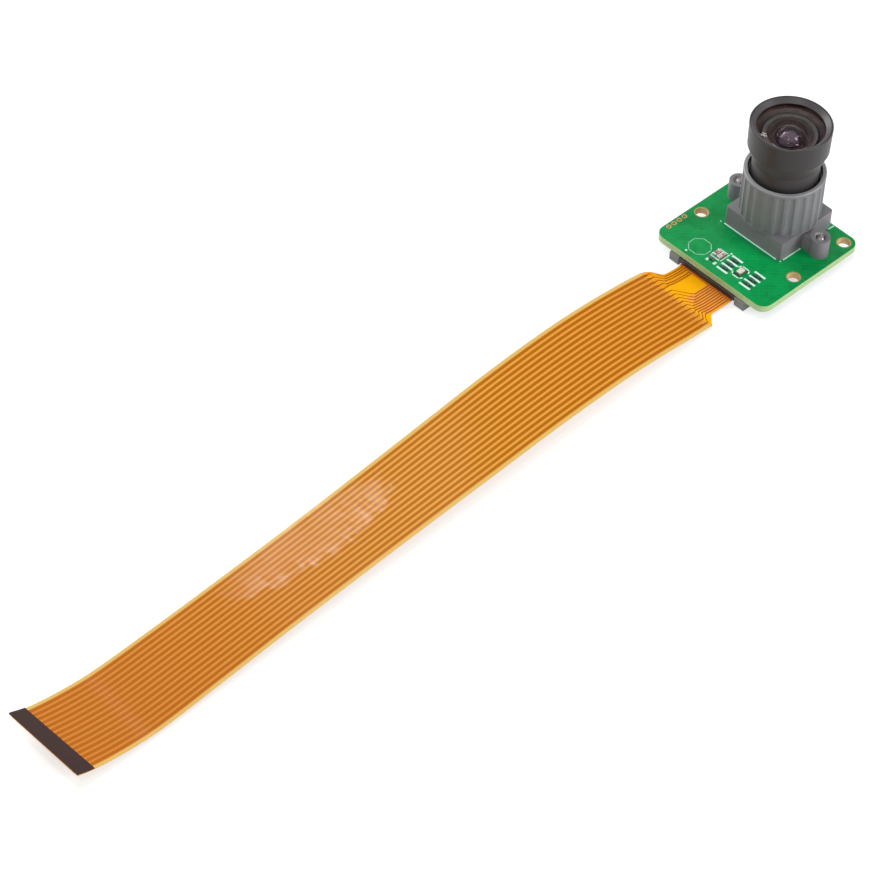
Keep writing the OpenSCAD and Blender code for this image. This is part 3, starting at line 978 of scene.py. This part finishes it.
class BOARDCAMERA_OT_cable_ends(bpy.types.Operator):
    """Finish the stiffeners and the gold fingers on the cable's ends"""

    bl_idname = "board_camera.cable_ends"
    bl_label = "Cable ends"

    def execute(self, context):
        tint = settings("cable")
        paint, weave, body = grained("stiffener", tint.stiffener, 2.2, 4, 0.72, 1.3, (2.5, 0.6, 1))
        finish = paint.finish(body, 0.55, Specular_IOR_Level=0.2, Normal=paint.bump(weave, 0.02))
        repaint("end_stiffener", finish)
        paint, _, body = grained("tail_stiffener", tint.dense, 1.5, 3, 0.85, 1.05)
        repaint("tail_stiffener", paint.finish(body, 0.4, Coat_Weight=0.3))
        gold = gold_paint("finger", settings("board").gold)
        for node in ("end_contacts", "tail_fingers"):
            repaint(node, gold)
        return {"FINISHED"}


class BOARDCAMERA_OT_board(bpy.types.Operator):
    """Finish the circuit board in green lacquer, with bare laminate at its cut edges"""

    bl_idname = "board_camera.board"
    bl_label = "Circuit board"

    def execute(self, context):
        tint = settings("board")
        paint = Paint("board")
        bore = self.bores(paint)
        bare = self.cut_edge(paint, tint.corner / MM).most(bore)
        plane, lines, vias = self.copper(paint)
        cloud = paint.noise(0.35, 4, 0.6)
        fields = paint.inside(*DARK_FIELDS[0])
        for field in DARK_FIELDS[1:]:
            fields = fields.most(paint.inside(*field))
        glass = paint.noise(1.6, 3, place=paint.moved(scale=(3, 3, 0.4)))
        body = paint.over(
            paint.shade(tint.mask, cloud.above(0.5, 0.22), 0.79, 1.15),
            (plane * 0.25 + lines * 0.35, tint.mask_track),
            (vias * 0.5, tint.laminate),
            (fields * 0.9, tint.dark_mask_and_shadow),
            # painted shadow: the lacquer darkened along the front of the holder's foot
            (paint.inside(*FOOT_SHADOW_BOX, 0.4) * 0.3, tint.dark_mask_and_shadow),
            (bare, paint.mix(bore, paint.shade(tint.laminate, glass, 0.75, 1.15), tint.bore)),
        )
        finish = paint.finish(
            body, bare * 0.4 + 0.4, Specular_IOR_Level=0.1, Coat_Weight=(1 - bare) * (cloud * 0.3),
            Coat_Roughness=0.12, Normal=paint.bump(lines * 0.6 + plane * 0.4 - vias, 0.02),
        )
        repaint("circuit_board", finish)
        return {"FINISHED"}

    @staticmethod
    def cut_edge(paint, corner):
        """1 on the cut edge, a box with rounded corners."""
        low, high = BOARD_LOW / MM, BOARD_HIGH / MM
        dx = (abs(paint.x - (low.x + high.x) / 2) - ((high.x - low.x) / 2 - corner)).most(0)
        dy = (abs(paint.y - (low.y + high.y) / 2) - ((high.y - low.y) / 2 - corner)).most(0)
        return (dx.length(dy) - corner).above(-0.05, 0.02)

    @staticmethod
    def bores(paint):
        """1 on the walls of the mounting holes and the test holes."""
        from_x = abs(abs(paint.x) - HOLES["spacing_x_mm"] / 2)
        from_y = abs(abs(paint.y) - HOLES["spacing_y_mm"] / 2)
        bore = from_x.length(from_y).below(HOLES["hole_r_mm"] + 0.02, 0.01)
        for x, y in LANDS:
            bore = bore.most(paint.radius(x, y).below(LAND_RADIUS + 0.02, 0.01))
        return bore

    @staticmethod
    def copper(paint):
        """The copper under the lacquer: a poured plane with slots, fine tracks, and plated vias."""
        plane = paint.cells(0.42, "DISTANCE_TO_EDGE", paint.moved(0.6)).above(0.05, 0.02)
        rows = paint.node(
            "ShaderNodeTexBrick", {"offset": 0.5, "squash": 1.0},
            {"Vector": paint.moved(math.radians(45)), "Scale": 0.55, "Mortar Size": 0.05,
             "Mortar Smooth": 0.2, "Brick Width": 3.2, "Row Height": 0.4},
            "Fac",
        )
        lines = Value(paint, rows) * paint.noise(0.3, 1).above(0.46, 0.03)
        return plane, lines, paint.cells(0.55).below(0.035, 0.012)


class BOARDCAMERA_OT_printing(bpy.types.Operator):
    """Print the white marks on the board"""

    bl_idname = "board_camera.printing"
    bl_label = "Printed marks"

    def execute(self, context):
        tint = settings("board")
        top = BOARD_HIGH.z
        paint, speck, body = grained("ink", tint.ink, 6.0, 3, 0.86, 1.05)
        octagon = paint.inside(-7.1, -2.9, -14.6, -10.5)
        body = paint.mix(octagon * (speck * 0.5 + 0.2), body, tint.mask_track)
        ink = paint.finish(body, 0.55, Normal=paint.bump(speck, 0.006))
        points, edges, side, half = [], [], [], []
        for a, b, width in STROKES:
            start, end = Vector(a), Vector(b)
            along = (end - start).normalized() * width / 2
            edges.append((len(points), len(points) + 1))
            for p in (start - along, end + along):
                points.append((p.x * MM, p.y * MM, top))
                side.append((along.y / along.length, -along.x / along.length, 0))
                half.append(width * MM / 2)
        mesh = guide(points, edges, side=side, up=[(0, 0, 1)] * len(points), half=half)
        strokes = strip_builder().make("print_strokes", mesh, Thickness=tint.ink_t, Material=ink)
        settle(smooth(strokes), "module")
        disc = bpy.data.meshes.new("disc")
        work = bmesh.new()
        bmesh.ops.create_cone(
            work, cap_ends=True, segments=24, radius1=0.5, radius2=0.48, depth=1,
            matrix=Matrix.Translation((0, 0, 0.5)),
        )
        work.to_mesh(disc)
        work.free()
        size = [(d * MM, d * MM, tint.ink_t) for _, _, d in DOTS]
        dots = repeat("print_dots", [(x * MM, y * MM, top) for x, y, _ in DOTS], size, disc, ink)
        settle(dots, "module")
        return {"FINISHED"}


class BOARDCAMERA_OT_plating(bpy.types.Operator):
    """Plate the mounting holes and the row of test lands"""

    bl_idname = "board_camera.plating"
    bl_label = "Plated rings"

    def execute(self, context):
        tint = settings("board")
        gold = gold_paint("plating", tint.dull_gold, 0.4)
        low, thick = BOARD_LOW.z, BOARD_HIGH.z - BOARD_LOW.z
        half_x, half_y = HOLES["spacing_x_mm"] * MM / 2, HOLES["spacing_y_mm"] * MM / 2
        corners = [(x, y, low) for x in (-half_x, half_x) for y in (-half_y, half_y)]
        lands = [(x * MM, y * MM, low) for x, y in LANDS]
        for name, places, radius, band in (
            ("hole_rings", corners, HOLES["hole_r_mm"] * MM, tint.ring_band),
            ("land_rings", lands, LAND_RADIUS * MM, tint.land_band),
        ):
            rings = ring_builder().make(
                name, guide(places), Hole_radius=radius, Band=band, Thickness=tint.plating_t, Board=thick,
                Material=gold,
            )
            settle(smooth(rings, 40), "module")
        return {"FINISHED"}


class BOARDCAMERA_OT_chips(bpy.types.Operator):
    """Make the small chips, each with a body and tinned ends"""

    bl_idname = "board_camera.chips"
    bl_label = "Chips"

    def execute(self, context):
        tint = settings("board")
        paint, cloud, body = grained("solder", tint.solder, 4.0, 3, 0.8, 1.25)
        solder = paint.finish(body, 0.5, Metallic=0.3, Normal=paint.bump(cloud, 0.01))
        for kind, shade, end_share, plating in (
            ("resistor", tint.resistor, 0.2, solder), ("capacitor", tint.ceramic, 0.22, tin_paint("tin")),
        ):
            nodes = [f"{side}_{kind}s" for side in ("front", "back")]
            paint, grain, body = grained(kind, shade, 5.0, 3, 0.82, 1.12)
            if kind == "capacitor":
                body = paint.mix(paint.noise(1.6, 2).above(0.52, 0.08), body, tint.ceramic_dark)
            glaze = paint.finish(body, 0.45, Specular_IOR_Level=0.3, Normal=paint.bump(grain, 0.008))
            core = 0.5 - end_share * 0.9
            core = bevelled_box((-core, -0.46, 0.02), (core, 0.46, 0.95), 0.02, 1)
            ends = joined([
                bevelled_box((x, -0.5, 0), (x + end_share, 0.5, 1), 0.045)
                for x in (-0.5, 0.5 - end_share)
            ])
            places = self.places(nodes)
            bodies = repeat(kind + "_bodies", *places[:2], core, glaze, places[2])
            caps = repeat(kind + "_ends", *places[:2], ends, plating, places[2])
            for obj, slot in ((bodies, kind), (caps, "tab")):
                settle(smooth(obj, 40), "module")
            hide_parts(*nodes)
        return {"FINISHED"}

    @staticmethod
    def places(nodes):
        """Foot, size and turn of each chip of these CAD nodes. Those under the board hang upside down."""
        points, size, turn = [], [], []
        for node in nodes:
            for low, high in solids(node):
                span = high - low
                under = low.z < 0
                points.append(((low.x + high.x) / 2, (low.y + high.y) / 2, high.z if under else low.z))
                size.append((max(span.x, span.y), min(span.x, span.y), span.z))
                turn.append((math.pi if under else 0, 0, math.pi / 2 if span.y > span.x else 0))
        return points, size, turn


class BOARDCAMERA_OT_small_parts(bpy.types.Operator):
    """Finish the crystal, the regulators, the holder's screws and the sensor"""

    bl_idname = "board_camera.small_parts"
    bl_label = "Small parts"

    def execute(self, context):
        tint = settings("board")
        crystal_rim, regulator_y, lead_from = 1.46, -6.4, 0.81
        paint, grain, metal = grained("crystal", rgb(226, 216, 202), 3.0, 3, 0.88, 1.06)
        lid = paint.z.above(crystal_rim, 0.01)
        # Painted shade: the crystal's base under its lid is dark green-grey, standing for the shade round
        # the lid
        body = paint.mix(lid, rgb(78, 86, 74), metal)
        finish = paint.finish(body, 0.55 - lid * 0.2, Metallic=lid * 0.3, Normal=paint.bump(grain, 0.006))
        repaint("clock_crystal", finish)
        paint, grain, epoxy = grained("regulator", rgb(34, 34, 36), 7.0, 4, 0.8, 1.2)
        lead = abs(paint.y - regulator_y).above(lead_from, 0.01)
        body = paint.mix(lead, epoxy, tint.tin)
        finish = paint.finish(body, 0.6 - lead * 0.3, Metallic=lead, Normal=paint.bump(grain, 0.01))
        repaint("voltage_regulators", finish)
        paint, brushed, body = grained("screw", rgb(142, 136, 134), 6.0, 3, 0.75, 1.15, (1, 1, 6))
        finish = paint.finish(body, brushed * 0.2 + 0.26, Metallic=1.0, Normal=paint.bump(brushed, 0.01))
        repaint("holder_screws", finish)
        repaint("connector_tabs", tin_paint("tab"))
        repaint("connector_contacts", gold_paint("contact", tint.gold))
        paint, _, body = grained("sensor_case", rgb(58, 58, 60), 5.0, 3, 0.85, 1.1)
        repaint("sensor_package", paint.finish(body, 0.6))
        paint = Paint("die")
        sockets = {"Vector": paint.place, "Scale": 12.0}
        squares = paint.node("ShaderNodeTexChecker", sockets=sockets, out="Fac")
        body = paint.mix(squares, rgb(70, 58, 92), rgb(92, 70, 104))
        repaint("sensor_die", paint.finish(body, 0.18, Metallic=0.6))
        for node, shade in (("ir_filter", rgb(196, 214, 226)), ("sensor_cover", rgb(226, 232, 232))):
            paint, dust, body = grained(node, shade, 4.0, 3, 0.95, 1.03)
            repaint(node, paint.finish(body, dust * 0.03 + 0.02, Transmission_Weight=0.95, IOR=1.5))
        return {"FINISHED"}


class BOARDCAMERA_OT_connector(bpy.types.Operator):
    """Finish the connector's housing and its latch"""

    bl_idname = "board_camera.connector"
    bl_label = "Connector"

    def execute(self, context):
        ear_from, lit_ear_shade = 6.35, rgb(112, 112, 107)
        for node, shade, rough in (
            ("connector_housing", rgb(92, 90, 84), 0.55), ("connector_latch", rgb(34, 33, 36), 0.5),
        ):
            paint, grain, body = grained(node, shade, 4.0, 4, 0.85, 1.1)
            body = paint.mix(paint.noise(0.7, 2), body, tuple(c * 1.15 for c in shade))
            if node == "connector_latch":
                # Painted light: the latch's ears are a lighter grey than its bar, as if lit
                ear = abs(paint.x).above(ear_from, 0.03)
                body = paint.mix(ear, body, paint.shade(lit_ear_shade, grain, 0.88, 1.1))
            repaint(node, paint.finish(body, rough, Normal=paint.bump(grain, 0.01)))
        return {"FINISHED"}


class BOARDCAMERA_OT_holder(bpy.types.Operator):
    """Finish the moulded lens holder"""

    bl_idname = "board_camera.holder"
    bl_label = "Lens holder"

    def execute(self, context):
        paint = Paint("holder")
        grain = paint.noise(9.0, 5, 0.65)
        cloud = paint.noise(0.5, 3)
        streak = paint.noise(1.3, 3, place=paint.moved(scale=(1, 1, 9)))
        # Painted highlight: a lighter, broken band along the top edge of the holder's tube
        rim = paint.z.above(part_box("lens_holder")[1].z / MM - 0.12, 0.1) * streak.above(0.3, 0.25)
        # Painted shade: the foot's top face, and the crease where the tube meets it, are darkened
        foot_top_shade = paint.z.above(FOOT_TOP - 0.05, 0.02) * paint.z.below(FOOT_TOP + 0.05, 0.02)
        body = paint.over(
            paint.shade(settings("lens").holder, grain * 0.3 + cloud * 0.4 + streak * 0.3, 0.66, 1.34),
            # Painted light: the foot's sides below its top are lighter, in a pinkish grey
            (paint.z.below(FOOT_TOP - 0.06, 0.04) * 0.6, rgb(128, 117, 128)),
            (foot_top_shade * 0.3, rgb(72, 70, 74)),
            # painted highlight along the tube's top edge
            (rim * 0.25, rgb(168, 168, 166)),
        )
        relief = paint.bump(grain * 0.7 + streak * 0.5, 0.03)
        repaint("lens_holder", paint.finish(body, 0.5, Specular_IOR_Level=0.7, Normal=relief))
        return {"FINISHED"}


class BOARDCAMERA_OT_barrel(bpy.types.Operator):
    """Finish the lens barrel, its front ring and the spacers inside"""

    bl_idname = "board_camera.barrel"
    bl_label = "Lens barrel"

    def execute(self, context):
        tint = settings("lens")
        land_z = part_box("front_spacer")[1].z / MM - 0.33
        spacers = ("front_spacer", "middle_spacer", "aperture_stop", "rear_spacer")
        for name, shade, shine, nodes in (
            ("barrel", tint.barrel, 0.15, ("lens_barrel",)),
            ("front_ring", tint.ring, 0.22, ("front_retaining_ring",)),
            ("spacer", tint.blacking, 0.15, spacers),
        ):
            paint = Paint(name)
            radius = paint.radius()
            lathe = Value(paint, paint.node(
                "ShaderNodeTexNoise", {"noise_dimensions": "1D"},
                {"W": radius + paint.z, "Scale": 14.0, "Detail": 2.0}, "Fac",
            ))
            body = paint.shade(shade, paint.noise(12.0, 3) * 0.5 + lathe * 0.5, 0.8, 1.2)
            if name == "spacer":
                body = paint.mix(paint.z.above(land_z, 0.03), body, tint.land)
            if name == "barrel":
                # Painted light: the barrel's downward-facing cone between neck and head is lighter and
                # warmer
                painted_light_cone = paint.z.above(CONE_LOW, 0.8) * paint.z.below(CONE_HIGH, 0.5)
                body = paint.mix(painted_light_cone * radius.above(NECK_RADIUS, 0.1) * 0.6, body, rgb(74, 67, 67))
            finish = paint.finish(
                body, lathe * 0.14 + 0.36, Specular_IOR_Level=shine, Coat_Weight=0.12,
                Coat_Roughness=0.35, Normal=paint.bump(lathe, 0.008),
            )
            for node in nodes:
                repaint(node, finish)
        return {"FINISHED"}


class BOARDCAMERA_OT_glass(bpy.types.Operator):
    """Make the glass: smooth polished caps, the ink on the front glass's rim with painted reflections in
    it, and the coatings
    """

    bl_idname = "board_camera.glass"
    bl_label = "Lens glass"

    def execute(self, context):
        tint = settings("lens")
        self.front(tint)
        self.inner(tint)
        paint = Paint("glass_rear")
        finish = paint.end(self.clear(paint, tint.glass, tint.inner_coating))
        for node in ("third_element", "rear_element"):
            repaint(node, finish)
        return {"FINISHED"}

    def front(self, tint):
        """The front glass: domed above, hollow below, with ink on its ground edge and painted reflections
        in that ink.
        """
        low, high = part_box("front_element")
        shelf, front, rim = low.z / MM, high.z / MM, high.x / MM - 0.01
        hollow, hollow_depth, land, dome, dome_rise = 3.6, 2.2, 4.64, 5.7, 0.75
        paint = Paint("glass_front")
        # Painted reflections: the ink turns purple towards +x, and brighter streaks lie over it
        reflection_drift = paint.noise(0.3, 1) * 6 + paint.x
        speck = paint.noise(0.55, 2, place=paint.moved(scale=(1, 1, 0.3)))
        ink = paint.over(
            tint.edge_ink,
            (reflection_drift.above(5, 3), tint.edge_ink_reflection),
            (speck.above(0.6, 0.06) * 0.5, tint.edge_glint),
        )
        relief = paint.bump(speck, 0.02)
        inked = paint.surface(ink, speck * 0.2 + 0.4, Specular_IOR_Level=0.3, Normal=relief)
        clear = self.clear(paint, tint.glass, tint.coating)
        material = self.edged(paint, clear, inked, 4.3, front - 0.8)
        shape = [
            *reversed(cap(hollow, shelf, hollow_depth)), (land, shelf), (rim, front - 1.65),
            (rim, front - 0.85), *cap(dome, front - dome_rise, dome_rise),
        ]
        self.settle("front_glass", shape, material, "glass_front", "front_element")

    def inner(self, tint):
        """The second glass: a steep dome over a shallow hollow, with a blackened edge."""
        low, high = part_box("second_element")
        hollow, hollow_depth, dome, dome_rise = 2.4, 0.7, 3.1, 1.7
        foot, top, rim = low.z / MM + 0.8, high.z / MM - dome_rise, high.x / MM - 0.01
        paint = Paint("glass_inner")
        blacked = paint.surface(paint.shade(tint.blacking, paint.noise(2.0, 2), 0.8, 1.1), 0.6)
        clear = self.clear(paint, tint.glass, tint.inner_coating, 0.6, 0.12)
        material = self.edged(paint, clear, blacked, 2.5, top - 0.04)
        shape = [
            *reversed(cap(hollow, foot, hollow_depth)), (rim, foot), (rim, top),
            *cap(dome, top, dome_rise),
        ]
        self.settle("inner_glass", shape, material, "glass_inner", "second_element")

    @staticmethod
    def settle(name, shape, material, slot, node):
        made = turned(name, shape, material)
        settle(made, "lens_stack")
        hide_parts(node)

    @staticmethod
    def clear(paint, tint, coating, coat=0.0, wave=0.0):
        """Clear glass whose reflections take the coating's colour."""
        film = paint.noise(0.4, 2)
        return paint.surface(
            paint.shade(tint, film, 0.97, 1.02), film * 0.02 + 0.01, Transmission_Weight=1.0, IOR=1.52,
            Specular_Tint=(*coating, 1.0), Coat_Weight=coat, Coat_IOR=1.8, Coat_Roughness=0.03,
            Normal=paint.bump(paint.noise(0.9, 2, 0.6), wave),
        )

    @staticmethod
    def edged(paint, clear, dark, radius, height):
        """Clear glass with a dark edge, outside a radius and below a height in millimetres."""
        edge = paint.radius().above(radius, 0.04) * paint.z.below(height, 0.02)
        return paint.end(paint.blend(edge, clear, dark))


def lamp(name, place, size, watts, aim, along=None):
    """A soft lamp: a disc, or a strip that lies along a direction."""
    data = bpy.data.lights.new(name, "AREA")
    data.energy = watts
    place, aim = Vector(place), Vector(aim)
    if along is None:
        data.shape, data.size = "DISK", size
        turn = (aim - place).to_track_quat("-Z", "Y").to_matrix()
    else:
        data.shape, (data.size, data.size_y) = "RECTANGLE", size
        back = (place - aim).normalized()
        right = (Vector(along) - back * back.dot(along)).normalized()
        turn = Matrix((right, back.cross(right), back)).transposed()
    link(bpy.data.objects.new(name, data)).matrix_world = Matrix.Translation(place) @ turn.to_4x4()


class BOARDCAMERA_OT_stage(bpy.types.Operator):
    """Lay the floor, and set the lamps and the even light"""

    bl_idname = "board_camera.stage"
    bl_label = "Stage"

    def execute(self, context):
        view = settings("view")
        scene = context.scene
        scene.view_settings.view_transform = "Standard"
        self.floor(view)
        world = bpy.data.worlds.new("studio")
        world.use_nodes = True
        world.node_tree.nodes.clear()
        scene.world = world
        sky = Graph(world.node_tree)
        plain, white = (
            sky.node("ShaderNodeBackground", sockets={"Color": (1, 1, 1), "Strength": strength}, out=0)
            for strength in (view.ambient, 1.0)
        )
        both = sky.blend(sky.background_seen(), plain, white)
        sky.node("ShaderNodeOutputWorld", sockets={"Surface": both})
        self.lamps(view)
        return {"FINISHED"}

    @staticmethod
    def floor(view):
        """A plain floor just under the part. It looks white and keeps the part's shadow."""
        size, low, gap = view.floor_size / 2, CAD_BOX[0][2], 0.00001
        paint, _, body = grained("floor", view.floor, 0.01, 2, 0.99, 1.01)
        glow = paint.node("ShaderNodeEmission", sockets={"Color": (1, 1, 1), "Strength": 1.25}, out=0)
        material = paint.end(paint.blend(paint.background_seen() * 0.5, paint.surface(body, 0.7), glow))
        corners = [(x * size, y * size, low - gap) for x, y in ((-1, -1), (1, -1), (1, 1), (-1, 1))]
        floor = piece("floor", corners, [(0, 1, 2, 3)], material)

    @staticmethod
    def lamps(view):
        """Soft lamps round a point on the cable, and the strip that the cable mirrors."""
        centre, distance = Vector((0, -0.05, 0)), 0.9
        for name, azimuth, height, size, watts in (
            ("right", 30, 28, 0.4, view.right), ("left", 182, 28, 0.4, view.left),
            ("top", 300, 56, 0.09, view.top), ("crown", 290, 78, 0.1, view.crown),
        ):
            turn, rise = math.radians(azimuth), math.radians(height)
            level = math.cos(rise)
            way = Vector((math.cos(turn) * level, math.sin(turn) * level, math.sin(rise)))
            lamp(name, way * distance + centre, size, watts, centre)
        lamp(
            "sheen", (-0.232, 0.071, 0.283), (0.1, 0.03), view.sheen, (0, -0.09, 0),
            along=(0.627, 0.646, 0.435),
        )


class BOARDCAMERA_PT_panel(bpy.types.Panel):
    """The steps that dress the camera"""

    bl_idname = "BOARDCAMERA_PT_panel"
    bl_label = "Board camera"
    bl_space_type = "VIEW_3D"
    bl_region_type = "UI"
    bl_category = "Board camera"

    def draw(self, context):
        for key in GROUPS:
            group = getattr(context.scene, key)
            for name in group.bl_rna.properties.keys():
                if name not in ("rna_type", "name"):
                    self.layout.prop(group, name)
        for step in STEPS:
            self.layout.operator(step.bl_idname)


STEPS = (
    BOARDCAMERA_OT_camera,
    BOARDCAMERA_OT_cable,
    BOARDCAMERA_OT_cable_ends,
    BOARDCAMERA_OT_board,
    BOARDCAMERA_OT_printing,
    BOARDCAMERA_OT_plating,
    BOARDCAMERA_OT_chips,
    BOARDCAMERA_OT_small_parts,
    BOARDCAMERA_OT_connector,
    BOARDCAMERA_OT_holder,
    BOARDCAMERA_OT_barrel,
    BOARDCAMERA_OT_glass,
    BOARDCAMERA_OT_stage,
)


def register():
    for cls in (*GROUPS.values(), *STEPS, BOARDCAMERA_PT_panel):
        bpy.utils.register_class(cls)
    for name, group in GROUPS.items():
        setattr(bpy.types.Scene, name, PointerProperty(type=group))


def unregister():
    for name in GROUPS:
        delattr(bpy.types.Scene, name)
    for cls in (BOARDCAMERA_PT_panel, *reversed(STEPS), *reversed(GROUPS.values())):
        bpy.utils.unregister_class(cls)


def main():
    register()
    for step in STEPS:
        family, name = step.bl_idname.split(".")
        getattr(getattr(bpy.ops, family), name)()


if __name__ == "__main__":
    main()
